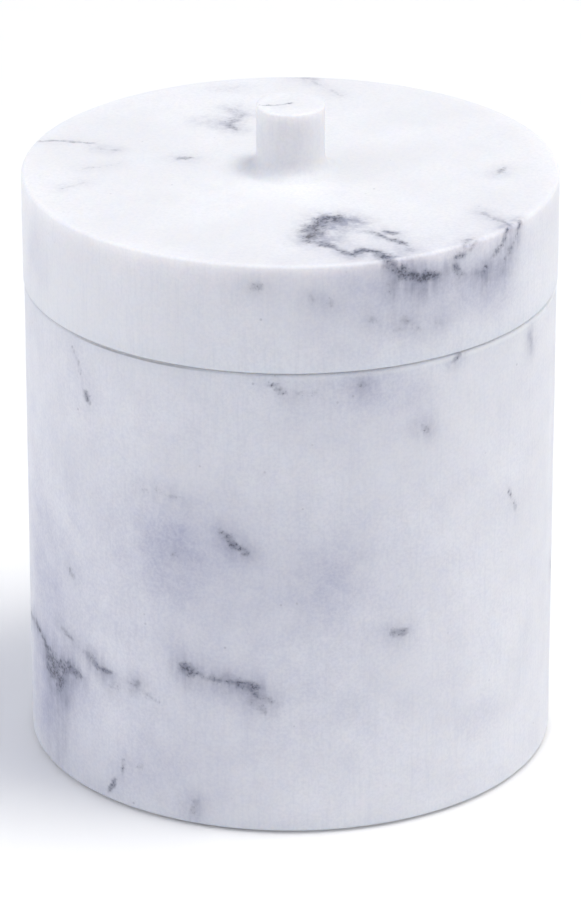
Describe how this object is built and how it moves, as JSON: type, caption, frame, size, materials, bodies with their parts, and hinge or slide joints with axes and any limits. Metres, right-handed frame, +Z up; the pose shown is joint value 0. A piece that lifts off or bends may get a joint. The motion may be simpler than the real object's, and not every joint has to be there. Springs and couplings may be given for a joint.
{
  "type": "cosmetic cream jar",
  "caption": "Wide round lidded canister in white marble-look cast stone, with a thick lift-off lid on a silicone ring, a small knob cast on the lid and anti-slip feet.",
  "frame": {"origin": "on the jar's axis, in the plane that the four feet stand on", "axes": "+Z up along the jar's axis, from the base to the knob; +X to the right and -Y towards the viewer when the jar is seen from the front"},
  "size_m": [0.1004, 0.1004, 0.1263],
  "materials": {
    "cast_stone": "satin",
    "silicone": "matte",
    "foot_rubber": "matte"
  },
  "bodies": {
    "jar": {"jar_body": "cast_stone", "foot_pad_1": "foot_rubber", "foot_pad_2": "foot_rubber", "foot_pad_3": "foot_rubber", "foot_pad_4": "foot_rubber"},
    "seal": {"lid_seal": "silicone"},
    "lid": {"lid_with_knob": "cast_stone"}
  },
  "joints": [
    {"name": "lid_lift", "type": "slide", "parent": "jar", "child": "seal", "axis": [0, 0, 1], "range_m": [0, 0.06]},
    {"name": "lid_turn", "type": "hinge", "parent": "seal", "child": "lid", "pos_m": [0, 0, 0.0925], "axis": [0, 0, 1], "continuous": true}
  ]
}
